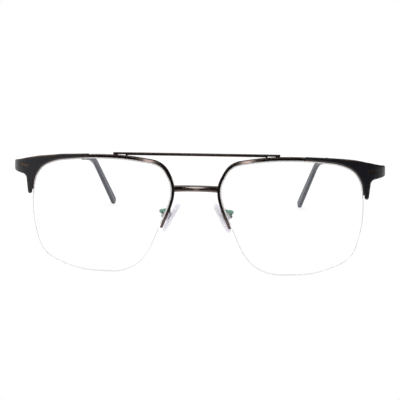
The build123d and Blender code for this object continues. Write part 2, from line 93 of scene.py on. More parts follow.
ahead = Vector((
    sin(camera_yaw) * cos(camera_pitch),
    cos(camera_yaw) * cos(camera_pitch),
    -sin(camera_pitch),
))
level = Vector((cos(camera_yaw), -sin(camera_yaw), 0))
upward = level.cross(ahead)
camera_right = cos(camera_roll) * level + sin(camera_roll) * upward
camera_up = cos(camera_roll) * upward - sin(camera_roll) * level
camera_data = bpy.data.cameras.new("camera")
camera_data.lens = focal_length
camera_data.clip_start = nearest_seen
camera = bpy.data.objects.new("camera", camera_data)
turn = Matrix((camera_right, camera_up, -ahead)).transposed().to_4x4()
camera.matrix_world = Matrix.Translation(camera_place) @ turn
bpy.context.scene.collection.objects.link(camera)
bpy.context.scene.camera = camera
print("camera stands", round(camera_place.length, 3), "m from the glasses")

# %% [markdown]
# # Two helpers for node trees
# A finish is a tree of nodes. One function adds a node, sets it up and joins its inputs, so that each
# finish reads as a short list. Colours are written as the hex codes that a picture editor shows.
# Blender mixes light in linear values, so one function turns a code to those.


# %% Helpers for node trees
def linear(code):
    """Hex colour from a picture editor, as linear red, green, blue and alpha."""
    shares = [int(code[start : start + 2], 16) / 255 for start in (1, 3, 5)]
    return [s / 12.92 if s <= 0.04045 else ((s + 0.055) / 1.055) ** 2.4 for s in shares] + [1]


def add_node(tree, kind, settings=None, links=None):
    """Add a node, set its sockets or properties by name, and link its inputs to other nodes' outputs."""
    node = tree.nodes.new(kind)
    for name, value in (settings or {}).items():
        if isinstance(name, int) or name in node.inputs:
            node.inputs[name].default_value = value
        else:
            setattr(node, name, value)
    for name, source in (links or {}).items():
        tree.links.new(source, node.inputs[name])
    return node


def new_finish(name):
    """A material with an empty node tree."""
    material = bpy.data.materials.new(name)
    material.use_nodes = True
    material.node_tree.nodes.clear()
    return material, material.node_tree


def put_on(finish, *names):
    """Give a finish to CAD parts, by name, on both sides where the part is one of a pair."""
    for name in names:
        for part in (name, f"left_{name}", f"right_{name}"):
            if part in nodes:
                nodes[part].data.materials[0] = finish
                print(finish.name, "on", part)


# %% [markdown]
# # Gunmetal
# The rims, bridges, lugs and temples are nickel silver with a gunmetal plating: black nickel over a
# warm underlayer, buffed until it is nearly a mirror. The eye sees a brown grey metal that turns black
# where it faces the dark side of the studio, and pale lines where its edges turn. Three things are
# drawn for that: the brown grey in slow patches, fine buffing lines, and edges that are rounded and
# worn a little brighter. A Bevel node rounds the light on a sharp edge without touching the mesh. There
# are two: a small one for every edge, and a wider one that is used only where the metal turns downward,
# because a half round wire has a fuller lower side. Where the small one's normal departs from the real
# one there is an edge. Buffing lines are about 0.02 mm apart, too fine to show, so they are drawn at
# 0.25 mm.

# %% Gunmetal plating
edge_rounding = 0.16 * mm


def gunmetal(polish, roundness):
    """Plated metal whose lower side is rounded by so many millimetres."""
    finish, tree = new_finish(f"gunmetal plating, {polish}")
    place = add_node(tree, "ShaderNodeTexCoord")
    patches = add_node(
        tree,
        "ShaderNodeTexNoise",
        {"Scale": 1 / (6 * mm), "Detail": 3},
        {"Vector": place.outputs["Object"]},
    )
    stretch = add_node(
        tree,
        "ShaderNodeMapping",
        {"Scale": (1 / (4 * mm), 1 / (2 * mm), 1 / (0.25 * mm))},
        {"Vector": place.outputs["Object"]},
    )
    lines = add_node(
        tree,
        "ShaderNodeTexNoise",
        {"Scale": 1, "Detail": 2},
        {"Vector": stretch.outputs[0]},
    )
    rounded = add_node(tree, "ShaderNodeBevel", {"samples": 4, "Radius": edge_rounding})
    fuller_below = add_node(tree, "ShaderNodeBevel", {"samples": 8, "Radius": roundness * mm})
    slope = add_node(tree, "ShaderNodeSeparateXYZ", {}, {0: fuller_below.outputs[0]})
    downward = add_node(
        tree, "ShaderNodeMapRange", {"From Min": -0.02, "From Max": -0.2}, {"Value": slope.outputs["Z"]}
    )
    bent = add_node(
        tree,
        "ShaderNodeMix",
        {"data_type": "VECTOR"},
        {0: downward.outputs[0], 4: rounded.outputs[0], 5: fuller_below.outputs[0]},
    )
    shape = add_node(tree, "ShaderNodeNewGeometry")
    facing = add_node(
        tree,
        "ShaderNodeVectorMath",
        {"operation": "DOT_PRODUCT"},
        {0: rounded.outputs[0], 1: shape.outputs["Normal"]},
    )
    edge = add_node(
        tree,
        "ShaderNodeMapRange",
        {"From Min": 0.97, "From Max": 0.8, "To Max": 0.45},
        {"Value": facing.outputs["Value"]},
    )
    tone = add_node(tree, "ShaderNodeMix", {"data_type": "RGBA"}, {0: patches.outputs["Fac"]})
    tone.inputs[6].default_value = linear("#746663")
    tone.inputs[7].default_value = linear("#85756f")
    worn = add_node(
        tree,
        "ShaderNodeMix",
        {"data_type": "RGBA"},
        {0: edge.outputs[0], 6: tone.outputs[2]},
    )
    worn.inputs[7].default_value = linear("#9a8c86")
    rough = add_node(
        tree,
        "ShaderNodeMapRange",
        {"To Min": 0.07, "To Max": 0.15},
        {"Value": lines.outputs["Fac"]},
    )
    relief = add_node(
        tree,
        "ShaderNodeBump",
        {"Strength": 0.12, "Distance": 0.01 * mm},
        {"Height": lines.outputs["Fac"], "Normal": bent.outputs[1]},
    )
    metal = add_node(
        tree,
        "ShaderNodeBsdfPrincipled",
        {"Metallic": 1},
        {"Base Color": worn.outputs[2], "Roughness": rough.outputs[0], "Normal": relief.outputs[0]},
    )
    add_node(tree, "ShaderNodeOutputMaterial", {}, {"Surface": metal.outputs[0]})
    return finish


bridge_metal = gunmetal("half round", 1.2)
put_on(bridge_metal, "bridge")
put_on(
    gunmetal("square", 0.2),
    "half_rim",
    "top_bar",
    "end_piece",
    "front_hinge",
    "temple_hinge",
    "temple_arm",
)

# %% [markdown]
# The pale streak across the middle of the bridge is a painted highlight: the reflection of a lamp on its
# rounded upper front is drawn as a pale matt nickel colour, with little of a metal's mirror. Its colour
# is a spot in the shape of a flat ellipse, measured from the top of the bridge, where a second shader
# shows through the plating.

# %% Painted highlight on the bridge
# Size and place of the ellipse where the painted highlight is drawn in a pale matt shader
highlight_half_length, highlight_half_height, highlight_below_top = 4.2 * mm, 0.26 * mm, 0.58 * mm
bridge_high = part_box("bridge")[1]
tree = bridge_metal.node_tree
surface = tree.nodes["Material Output"].inputs["Surface"]
place = add_node(tree, "ShaderNodeTexCoord")
spot = add_node(
    tree,
    "ShaderNodeMapping",
    {
        "Scale": (1 / highlight_half_length, 0, 1 / highlight_half_height),
        "Location": (0, 0, (highlight_below_top - bridge_high.z) / highlight_half_height),
    },
    {"Vector": place.outputs["Object"]},
)
away = add_node(tree, "ShaderNodeVectorMath", {"operation": "LENGTH"}, {0: spot.outputs[0]})
painted_highlight_spot = add_node(
    tree,
    "ShaderNodeMapRange",
    {"From Min": 1, "From Max": 0.75},
    {"Value": away.outputs["Value"]},
)
scratches = add_node(
    tree,
    "ShaderNodeTexNoise",
    {"Scale": 1 / (0.3 * mm), "Detail": 2},
    {"Vector": place.outputs["Object"]},
)
rough = add_node(
    tree,
    "ShaderNodeMapRange",
    {"To Min": 0.5, "To Max": 0.65},
    {"Value": scratches.outputs["Fac"]},
)
nickel = add_node(
    tree,
    "ShaderNodeBsdfPrincipled",
    {"Metallic": 0.2, "Base Color": linear("#e6dfdb")},
    {"Roughness": rough.outputs[0]},
)
both = add_node(
    tree,
    "ShaderNodeMixShader",
    {},
    {0: painted_highlight_spot.outputs[0], 1: surface.links[0].from_socket, 2: nickel.outputs[0]},
)
tree.links.new(both.outputs[0], surface)
# This prints the height of the middle of the painted highlight
print("engraved line lies", round((bridge_high.z - highlight_below_top) / mm, 2), "mm up")

# %% [markdown]
# # Bright steel
# Pad boxes and screws are stainless steel, drawn or turned and left bright. The marks of that are far
# too small to show here, so a soft 0.4 mm mottle in the roughness stands for them.

# %% Stainless steel
steel, tree = new_finish("stainless steel, drawn bright")
place = add_node(tree, "ShaderNodeTexCoord")
mottle = add_node(
    tree,
    "ShaderNodeTexNoise",
    {"Scale": 1 / (0.4 * mm), "Detail": 3},
    {"Vector": place.outputs["Object"]},
)
rounded = add_node(tree, "ShaderNodeBevel", {"samples": 4, "Radius": 0.08 * mm})
tone = add_node(tree, "ShaderNodeMix", {"data_type": "RGBA"}, {0: mottle.outputs["Fac"]})
tone.inputs[6].default_value = linear("#bcbac2")
tone.inputs[7].default_value = linear("#d4d2da")
rough = add_node(
    tree,
    "ShaderNodeMapRange",
    {"To Min": 0.2, "To Max": 0.38},
    {"Value": mottle.outputs["Fac"]},
)
metal = add_node(
    tree,
    "ShaderNodeBsdfPrincipled",
    {"Metallic": 1},
    {"Base Color": tone.outputs[2], "Roughness": rough.outputs[0], "Normal": rounded.outputs[0]},
)
add_node(tree, "ShaderNodeOutputMaterial", {}, {"Surface": metal.outputs[0]})
put_on(steel, "pad_box", "pad_screw", "hinge_screw")

# %% [markdown]
# # Bronze of the plate edges and inlays
# The brow plates are stamped from bronze. Their edges and the inlaid dash are brushed after enamelling,
# so that the metal shows there: dark brown gold, with fine brush marks. Brush grit of 0.05 mm is drawn
# at 0.2 mm.

# %% Brushed bronze
bronze, tree = new_finish("bronze, brushed and darkened")
place = add_node(tree, "ShaderNodeTexCoord")
brush = add_node(
    tree,
    "ShaderNodeTexNoise",
    {"Scale": 1 / (0.2 * mm), "Detail": 3},
    {"Vector": place.outputs["Object"]},
)
rounded = add_node(tree, "ShaderNodeBevel", {"samples": 4, "Radius": 0.06 * mm})
tone = add_node(tree, "ShaderNodeMix", {"data_type": "RGBA"}, {0: brush.outputs["Fac"]})
tone.inputs[6].default_value = linear("#574a40")
tone.inputs[7].default_value = linear("#6b5b4e")
rough = add_node(
    tree,
    "ShaderNodeMapRange",
    {"To Min": 0.24, "To Max": 0.42},
    {"Value": brush.outputs["Fac"]},
)
metal = add_node(
    tree,
    "ShaderNodeBsdfPrincipled",
    {"Metallic": 1},
    {"Base Color": tone.outputs[2], "Roughness": rough.outputs[0], "Normal": rounded.outputs[0]},
)
add_node(tree, "ShaderNodeOutputMaterial", {}, {"Surface": metal.outputs[0]})
put_on(bronze, "inlay")

# %% [markdown]
# Two smaller finishes follow the same pattern. The fine crest where a plate's enamel ends is given a
# pale dull nickel colour, a painted highlight for the glint along its lower edge. The wires that carry
# the pads are coloured green all over, a painted reflection of the lens coating's green.

# %% Painted highlight nickel and painted green reflection wire
rough_span = 0.15
for name, low_code, high_code, low_rough in (
    ("nickel, painted crest highlight", "#8d8a8c", "#a9a6a8", 0.45),
    ("wire, painted green reflection", "#5f8d78", "#76a38e", 0.25),
):
    finish, tree = new_finish(name)
    place = add_node(tree, "ShaderNodeTexCoord")
    grain = add_node(
        tree,
        "ShaderNodeTexNoise",
        {"Scale": 1 / (0.5 * mm), "Detail": 3},
        {"Vector": place.outputs["Object"]},
    )
    tone = add_node(tree, "ShaderNodeMix", {"data_type": "RGBA"}, {0: grain.outputs["Fac"]})
    tone.inputs[6].default_value = linear(low_code)
    tone.inputs[7].default_value = linear(high_code)
    rough = add_node(
        tree,
        "ShaderNodeMapRange",
        {"To Min": low_rough, "To Max": low_rough + rough_span},
        {"Value": grain.outputs["Fac"]},
    )
    metal = add_node(
        tree,
        "ShaderNodeBsdfPrincipled",
        {"Metallic": 1},
        {"Base Color": tone.outputs[2], "Roughness": rough.outputs[0]},
    )
    add_node(tree, "ShaderNodeOutputMaterial", {}, {"Surface": metal.outputs[0]})
crest_highlight_metal = bpy.data.materials["nickel, painted crest highlight"]
green_reflection_wire = bpy.data.materials["wire, painted green reflection"]
# The green of the pad arms is a painted reflection of the lens coating's green
put_on(green_reflection_wire, "pad_arm")

# %% [markdown]
# # Black enamel
# The face of each brow plate is black lacquer enamel, sprayed and baked to a satin. It isn't a metal:
# it is a dark colour under a clear skin with the usual 4 percent gloss. Baked lacquer has a faint
# orange peel about 1.2 mm across and shows the brushing of the metal under it as long soft streaks.

# %% Enamel
enamel, tree = new_finish("black enamel, baked satin")
place = add_node(tree, "ShaderNodeTexCoord")
peel = add_node(
    tree,
    "ShaderNodeTexNoise",
    {"Scale": 1 / (1.2 * mm), "Detail": 1},
    {"Vector": place.outputs["Object"]},
)
stretch = add_node(
    tree,
    "ShaderNodeMapping",
    {"Scale": (1 / (7 * mm), 1 / (7 * mm), 1 / (0.5 * mm))},
    {"Vector": place.outputs["Object"]},
)
streaks = add_node(
    tree,
    "ShaderNodeTexNoise",
    {"Scale": 1, "Detail": 3},
    {"Vector": stretch.outputs[0]},
)
tone = add_node(tree, "ShaderNodeMix", {"data_type": "RGBA"}, {0: streaks.outputs["Fac"]})
tone.inputs[6].default_value = linear("#0e0d13")
tone.inputs[7].default_value = linear("#131219")
rough = add_node(
    tree,
    "ShaderNodeMapRange",
    {"To Min": 0.28, "To Max": 0.36},
    {"Value": streaks.outputs["Fac"]},
)
relief = add_node(
    tree,
    "ShaderNodeBump",
    {"Strength": 0.05, "Distance": 0.02 * mm},
    {"Height": peel.outputs["Fac"]},
)
paint = add_node(
    tree,
    "ShaderNodeBsdfPrincipled",
    {"IOR": 1.5},
    {"Base Color": tone.outputs[2], "Roughness": rough.outputs[0], "Normal": relief.outputs[0]},
)
add_node(tree, "ShaderNodeOutputMaterial", {}, {"Surface": paint.outputs[0]})
print(enamel.name, "has", len(tree.nodes), "nodes")

# %% [markdown]
# # Brow plates with a bevelled edge
# A real plate has its face bevelled all round, and the bevel is what catches the light along its
# outline. Three ways could give it: a Bevel modifier, which tangles on a CAD mesh's long triangles, a
# plate drawn again from curves, which could drift from the CAD, or an inset of the CAD plate's own
# front. The last is used. The front is found by growing from its largest triangle over every edge that
# bends little. It is inset twice, for the bevel and for a fine crest inside it, and then the outer line
# is sunk by the bevel's depth and the crest's line a touch. Enamel covers the bevel too, except on the
# upward bevel faces at the outer end, which are bronze as a painted highlight of the light from above,
# and the crest is a pale dull nickel only along the lower edge of that end, as a painted glint. An inset
# gives new triangles, and their gloss would break up, so the front takes back the normals of the CAD
# plate.

# %% Sizes of the bevel and the crest
bevel_width = 0.22 * mm
bevel_depth = 0.13 * mm
crest_width = 0.07 * mm
crest_drop = 0.03 * mm
# Where the painted glint on the crest and the painted top light on the bevel lie
glint_below, glint_out = 0.5 * mm, 0.5 * mm
lit_top_out, lit_top_slope = 9 * mm, 0.3
smooth_bend, sharp_bend = radians(25), radians(20)
weld_distance, same_place = 0.001 * mm, 0.01 * mm
slot_margin = 0.3 * mm
forward = -0.3
print("bevel, mm:", round(bevel_width / mm, 2), "wide and", round(bevel_depth / mm, 2), "deep")


# %% Find the front of a plate
def front_patch(solid):
    """Faces of a plate's front, grown from its largest forward triangle over edges that bend little."""
    solid.faces.ensure_lookup_table()
    start = max((face for face in solid.faces if face.normal.y < 0), key=lambda face: face.calc_area())
    patch, waiting = {start}, [start]
    while waiting:
        face = waiting.pop()
        for line in face.edges:
            for other in line.link_faces:
                if other not in patch and face.normal.angle(other.normal, pi) < smooth_bend:
                    patch.add(other)
                    waiting.append(other)
    return patch


def inside(point, low, high):
    """Whether a point lies in a box."""
    return all(low[axis] <= point[axis] <= high[axis] for axis in range(3))


def corner_normal(corner, patch):
    """Mean normal of the front's own faces at one of its corners."""
    return sum((face.normal for face in corner.link_faces if face in patch), Vector()).normalized()


# %% Bevel the front
def bevelled_plate(side):
    """A copy of the CAD brow plate with a bevel and a fine crest round the enamel of its front."""
    solid = bmesh.new()
    solid.from_mesh(nodes[f"{side}_brow_plate"].data)
    bmesh.ops.remove_doubles(solid, verts=solid.verts, dist=weld_distance)
    front = solid.faces.layers.int.new("front")
    patch = front_patch(solid)
    slot_low, slot_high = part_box(f"{side}_inlay")
    margin = Vector((1, 1, 1)) * slot_margin
    border = {
        corner
        for face in patch
        for corner in face.verts
        if any(other not in patch for other in corner.link_faces)
    }
    outer = [
        corner.co.copy()
        for corner in border
        if not inside(corner.co, slot_low - margin, slot_high + margin)
    ]
    bevel, crest = [
        bmesh.ops.inset_region(solid, faces=list(patch), thickness=width, use_even_offset=False)["faces"]
        for width in (bevel_width, crest_width)
    ]
    bevel_corners = {corner for face in bevel for corner in face.verts}
    ring = bevel_corners & {corner for face in crest for corner in face.verts}
    rim = {
        corner
        for corner in bevel_corners - ring
        if min((corner.co - spot).length for spot in outer) < same_place
    }
    for face in patch:
        face[front] = 1
        face.material_index = 1
    ways = {corner: corner_normal(corner, patch | set(bevel) | set(crest)) for corner in ring | rim}
    for corner, way in ways.items():
        corner.co -= way * (bevel_depth if corner in rim else crest_drop)
    solid.normal_update()
    # Painted highlight: upward bevel faces at the outer end are bronze, for the light from above
    for face in bevel:
        painted_top_light = face.normal.z > lit_top_slope and abs(face.calc_center_median().x) > lens_high.x - lit_top_out
        face.material_index = 0 if painted_top_light else 1
    # Painted glint: the crest along the lower edge of the outer end is pale nickel
    for face in crest:
        middle = face.calc_center_median()
        painted_glint_edge = middle.z < slot_high.z + glint_below and abs(middle.x) > lens_high.x + glint_out
        round_slot = inside(middle, slot_low - 3 * margin, slot_high + 3 * margin)
        face.material_index = 2 if painted_glint_edge and not round_slot else 1
    mesh = bpy.data.meshes.new(f"{side}_enamelled_plate")
    solid.to_mesh(mesh)
    solid.free()
    for finish in (bronze, enamel, crest_highlight_metal):
        mesh.materials.append(finish)
    return bpy.data.objects.new(f"{side}_enamelled_plate", mesh)


# %% Keep the front's normals
def keep_front_normals(mesh, source):
    """Give the front's corners the normals of the nearest corner of the CAD plate's front."""
    corners = [
        corner
        for face in source.polygons
        if face.normal.y < forward
        for corner in face.loop_indices
    ]
    tree = KDTree(len(corners))
    for corner in corners:
        tree.insert(source.vertices[source.loops[corner].vertex_index].co, corner)
    tree.balance()
    normals = [corner.vector.copy() for corner in mesh.corner_normals]
    front = mesh.attributes["front"].data
    for face in mesh.polygons:
        if front[face.index].value:
            for corner in face.loop_indices:
                near = tree.find(mesh.vertices[mesh.loops[corner].vertex_index].co)[1]
                normals[corner] = source.corner_normals[near].vector.copy()
    mesh.normals_split_custom_set(normals)


# %% Both plates
for side in sides:
    plate = bevelled_plate(side)
    bpy.context.scene.collection.objects.link(plate)
    plate.data.shade_smooth()
    plate.data.set_sharp_from_angle(angle=sharp_bend)
    keep_front_normals(plate.data, nodes[f"{side}_brow_plate"].data)
    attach(plate, "front")
    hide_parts(f"{side}_brow_plate")
    print(plate.name, "faces:", len(plate.data.polygons))

# %% [markdown]
# # Lenses
# The lenses are clear hard resin, cast and polished, with a hard coat and an anti-reflective coating.
# Glass shaders bend light by the refractive index, here 1.5. The coating takes most of the reflection
# away, so the specular level is low. Only the rim of a lens is ground and left matt, which makes the
# thin pale edge that shows below. A lens's faces look forward or back and its rim looks sideways, so
# the rim is where the normal has little of Y in it. Lamps must shine through a lens, and a path tracer
# finds that hard, so for shadow rays alone the lens is simply clear.

# %% Lens resin
resin, tree = new_finish("lens resin, polished and coated")
shape = add_node(tree, "ShaderNodeNewGeometry")
split = add_node(tree, "ShaderNodeSeparateXYZ", {}, {0: shape.outputs["Normal"]})
sideways = add_node(tree, "ShaderNodeMath", {"operation": "ABSOLUTE"}, {0: split.outputs["Y"]})
ground = add_node(
    tree,
    "ShaderNodeMapRange",
    {"From Min": 0.45, "From Max": 0.3, "To Max": 0.8},
    {"Value": sideways.outputs[0]},
)
place = add_node(tree, "ShaderNodeTexCoord")
grain = add_node(
    tree,
    "ShaderNodeTexNoise",
    {"Scale": 1 / (0.5 * mm), "Detail": 2},
    {"Vector": place.outputs["Object"]},
)
frost = add_node(tree, "ShaderNodeMix", {"data_type": "RGBA"}, {0: grain.outputs["Fac"]})
frost.inputs[6].default_value = linear("#f8f9f9")
frost.inputs[7].default_value = linear("#ffffff")
matt = add_node(tree, "ShaderNodeBsdfDiffuse", {}, {"Color": frost.outputs[2]})
glass = add_node(
    tree,
    "ShaderNodeBsdfPrincipled",
    {
        "Base Color": linear("#ffffff"),
        "Roughness": 0,
        "IOR": 1.5,
        "Transmission Weight": 1,
        "Specular IOR Level": 0.06,
    },
)
whole = add_node(
    tree,
    "ShaderNodeMixShader",
    {},
    {0: ground.outputs[0], 1: glass.outputs[0], 2: matt.outputs[0]},
)
clear = add_node(tree, "ShaderNodeBsdfTransparent", {"Color": linear("#fdfdfd")})
light = add_node(tree, "ShaderNodeLightPath")
mixed = add_node(
    tree,
    "ShaderNodeMixShader",
    {},
    {0: light.outputs["Is Shadow Ray"], 1: whole.outputs[0], 2: clear.outputs[0]},
)
add_node(tree, "ShaderNodeOutputMaterial", {}, {"Surface": mixed.outputs[0]})
put_on(resin, "lens")

# %% [markdown]
# # Nylon line
# Below the rims each lens hangs in a loop of nylon line, 0.5 mm thick, that lies in the groove of its
# edge. The CAD cord is square, which is right for a groove but not for the eye. A curve with a round
# bevel is the plainest way to draw line. It isn't a free cord, because the groove holds it all along.
# Its path comes from the CAD cord itself: at the angle of each of the cord's corners a ray looks
# inward, and where it meets the cord near that corner the line passes, half its thickness further in
# and at the groove's depth. The points are then spaced evenly and relaxed a little, because stiff line
# rounds a turn.

# %% Nylon finish
nylon, tree = new_finish("nylon monofilament, drawn")
place = add_node(tree, "ShaderNodeTexCoord")
haze = add_node(
    tree,
    "ShaderNodeTexNoise",
    {"Scale": 1 / (1.5 * mm), "Detail": 2},
    {"Vector": place.outputs["Object"]},
)
rough = add_node(
    tree,
    "ShaderNodeMapRange",
    {"To Min": 0.12, "To Max": 0.3},
    {"Value": haze.outputs["Fac"]},
)
strand = add_node(
    tree,
    "ShaderNodeBsdfPrincipled",
    {"Base Color": linear("#fcfcfc"), "IOR": 1.53, "Transmission Weight": 0.15},
    {"Roughness": rough.outputs[0]},
)
add_node(tree, "ShaderNodeOutputMaterial", {}, {"Surface": strand.outputs[0]})
put_on(nylon, "rim_liner")

# %% Sizes and helpers of the line
line_radius = 0.24 * mm
groove_below = 0.9 * mm
reach = 40 * mm
near_outside = 0.1 * mm
knot_spacing = 0.8 * mm
smoothing_turns = 6
print("line, mm thick:", round(2 * line_radius / mm, 2))


def curve_y(x, z, below):
    """Depth of a point that lies this far below the lens's front curve, in front view."""
    ball = lens_curve - below
    return curve_centre.y - (ball**2 - (abs(x) - curve_centre.x) ** 2 - (z - curve_centre.z) ** 2) ** 0.5


def level_offset(side, point):
    """Offset of a point from the lens's middle, in front view."""
    return Vector((point.x - sides[side] * lens_middle.x, 0, point.z - lens_middle.z))


def turn_from_top(offset):
    """Angle of an offset in front view, counted from straight up, where the line has its gap."""
    return atan2(offset.x, offset.z) % (2 * pi)


def evenly_spaced(points):
    """Points a fixed step apart along a chain of points."""
    even = []
    for start, end in zip(points, points[1:]):
        count = max(1, round((end - start).length / knot_spacing))
        even += [start.lerp(end, step / count) for step in range(count)]
    return even + [points[-1]]


def relaxed(points):
    """A chain of points, each moved a few times toward the middle of its neighbours. The ends stay."""
    for _ in range(smoothing_turns):
        chain = zip(points, points[1:], points[2:])
        inner = [(before + 2 * point + after) / 4 for before, point, after in chain]
        points = [points[0], *inner, points[-1]]
    return points


# %% Path of the line
def line_path(side):
    """Points along the middle of the CAD cord, from one end of the rim, round below the lens."""
    cord = nodes[f"{side}_lens_cord"]
    target = BVHTree.FromObject(cord, bpy.context.evaluated_depsgraph_get())
    points = []
    for corner in sorted(
        cord.data.vertices,
        key=lambda vertex: turn_from_top(level_offset(side, vertex.co)),
    ):
        offset = level_offset(side, corner.co)
        way = offset.normalized()
        start = corner.co - offset + way * reach
        start.y = curve_y(corner.co.x, corner.co.z, groove_below)
        hit = target.ray_cast(start, -way, reach)[0]
        if hit is None or offset.length < level_offset(side, hit).length - near_outside:
            continue
        middle = hit - way * line_radius
        middle.y = curve_y(middle.x, middle.z, groove_below)
        if not points or (middle - points[-1]).length > knot_spacing:
            points.append(middle)
    return relaxed(evenly_spaced(points))


# %% Both lines
def line_piece(name, points, radius):
    """A smooth round line through points."""
    curve = bpy.data.curves.new(name, "CURVE")
    curve.dimensions = "3D"
    curve.bevel_depth = radius
    curve.bevel_resolution = 3
    curve.use_fill_caps = True
    curve.resolution_u = 8
    spline = curve.splines.new("BEZIER")
    spline.bezier_points.add(len(points) - 1)
    for knot, point in zip(spline.bezier_points, points):
        knot.co = point
        knot.handle_left_type = knot.handle_right_type = "AUTO"
    return bpy.data.objects.new(name, curve)


for side in sides:
    path = line_path(side)
    line = line_piece(f"{side}_nylon_line", path, line_radius)
    line.data.materials.append(nylon)
    bpy.context.scene.collection.objects.link(line)
    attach(line, "front")
    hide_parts(f"{side}_lens_cord")
    print(line.name, "points:", len(path))

# %% [markdown]
# # Nose pads
# A pad is a drop of milky silicone, injection moulded round a stiff insert: 13 mm long, wider at its
# foot, crowned toward the nose and nearly flat behind. It could be sculpted or be a squashed sphere.
# Here it is lofted: rings that follow the pad's outline are stacked from the back over the edge to the
# crown, each inset by its own amount and at its own height, and a subdivision surface smooths the
# stack.

# %% Silicone
silicone, tree = new_finish("silicone, moulded clear")
place = add_node(tree, "ShaderNodeTexCoord")
cloud = add_node(
    tree,
    "ShaderNodeTexNoise",
    {"Scale": 1 / (2.5 * mm), "Detail": 2},
    {"Vector": place.outputs["Object"]},
)
tone = add_node(tree, "ShaderNodeMix", {"data_type": "RGBA"}, {0: cloud.outputs["Fac"]})
tone.inputs[6].default_value = linear("#f4f1f9")
tone.inputs[7].default_value = linear("#faf8fe")
rough = add_node(
    tree,
    "ShaderNodeMapRange",
    {"To Min": 0.28, "To Max": 0.42},
    {"Value": cloud.outputs["Fac"]},
)
rubber = add_node(
    tree,
    "ShaderNodeBsdfPrincipled",
    {"IOR": 1.41, "Transmission Weight": 0.1},
    {"Base Color": tone.outputs[2], "Roughness": rough.outputs[0]},
)
add_node(tree, "ShaderNodeOutputMaterial", {}, {"Surface": rubber.outputs[0]})
print(silicone.name, "has", len(tree.nodes), "nodes")

# %% Outline and profile of a pad
pad_splay, pad_toe = radians(29.5), radians(11)
pad_length, pad_foot_radius, pad_top_radius = 13 * mm, 3.5 * mm, 2.6 * mm
arc_steps, pad_subdivisions = 10, 2
# Inset from the outline and height over the middle plane, in mm, from the back round to the crown
pad_profile = [
    (2.4, -0.86), (1.7, -0.8), (1.0, -0.78), (0.45, -0.68), (0.12, -0.42), (0.0, -0.06),
    (0.1, 0.3), (0.4, 0.54), (0.95, 0.69), (1.7, 0.77), (2.4, 0.8),
]
print("rings in a pad:", len(pad_profile))


def drop_ring(inset):
    """Inset teardrop outline in the pad's own plane: a small arc above and a large one at the foot."""
    foot_x, top_x = pad_length / 2 - pad_foot_radius, pad_top_radius - pad_length / 2
    lean = acos((pad_foot_radius - pad_top_radius) / (foot_x - top_x))
    ring = []
    for x, radius, start in (
        (foot_x, pad_foot_radius - inset, -lean),
        (top_x, pad_top_radius - inset, lean),
    ):
        span = 2 * lean if x == foot_x else 2 * (pi - lean)
        for step in range(arc_steps + 1):
            angle = start + span * step / arc_steps
            ring.append((x + radius * cos(angle), radius * sin(angle)))
    return ring


def pad_middle(down, low, high):
    """Middle of the pad's length. Its box lies off that, because the foot's arc is the larger one."""
    drift = (pad_foot_radius - pad_top_radius) * (1 - abs(down.z)) / 2
    return (low + high) / 2 - Vector((0, 0, drift))


# %% Loft a pad
def silicone_pad(side):
    """Loft the pad's rings in place on the CAD pad."""
    facing = sides[side]
    down = Vector((facing * sin(pad_splay), 0, -cos(pad_splay)))
    inward = Vector((
        -facing * cos(pad_splay) * cos(pad_toe),
        sin(pad_toe),
        -sin(pad_splay) * cos(pad_toe),
    ))
    across = inward.cross(down)
    middle = pad_middle(down, *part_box(f"{side}_nose_pad"))
    form = bmesh.new()
    rings = [
        [
            form.verts.new(middle + down * x + across * y + inward * height * mm)
            for x, y in drop_ring(inset * mm)
        ]
        for inset, height in pad_profile
    ]
    count = len(rings[0])
    for lower, upper in zip(rings, rings[1:]):
        for step in range(count):
            after = (step + 1) % count
            form.faces.new((lower[step], lower[after], upper[after], upper[step]))
    form.faces.new(reversed(rings[0]))
    form.faces.new(rings[-1])
    bmesh.ops.recalc_face_normals(form, faces=form.faces)
    mesh = bpy.data.meshes.new(f"{side}_silicone_pad")
    form.to_mesh(mesh)
    form.free()
    mesh.shade_smooth()
    mesh.materials.append(silicone)
    pad = bpy.data.objects.new(f"{side}_silicone_pad", mesh)
    smooth = pad.modifiers.new("smooth", "SUBSURF")
    smooth.levels = smooth.render_levels = pad_subdivisions
    return pad


# %% Both pads
for side in sides:
    pad = silicone_pad(side)
    bpy.context.scene.collection.objects.link(pad)
    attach(pad, f"{side}_pad")
    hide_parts(f"{side}_nose_pad")
    print(pad.name, "stands in for", f"{side}_nose_pad")

# %% [markdown]
# # Pad inserts
# Each pad holds a stiff insert that its box clamps. It is clear polycarbonate, moulded, and shows
# through the silicone only as a slightly greyer core.

# %% Insert polycarbonate
insert, tree = new_finish("polycarbonate, moulded clear")
place = add_node(tree, "ShaderNodeTexCoord")
flow = add_node(
    tree,
    "ShaderNodeTexNoise",
    {"Scale": 1 / (0.8 * mm), "Detail": 2},
    {"Vector": place.outputs["Object"]},
)
rough = add_node(
    tree,
    "ShaderNodeMapRange",
    {"To Min": 0.15, "To Max": 0.3},
    {"Value": flow.outputs["Fac"]},
)
clear_part = add_node(
    tree,
    "ShaderNodeBsdfPrincipled",
    {"Base Color": linear("#eeecf4"), "IOR": 1.58, "Transmission Weight": 0.2},
    {"Roughness": rough.outputs[0]},
)
add_node(tree, "ShaderNodeOutputMaterial", {}, {"Surface": clear_part.outputs[0]})
put_on(insert, "pad_core")

# %% [markdown]
# # Temple tips
# The tips are cellulose acetate, milled and tumbled to a soft gloss: slate blue grey, a little uneven
# where the sheet was marbled, with a clear skin that shines at its rounded edges. Acetate passes some
# light near its surface, so the colour is slightly lit from within.

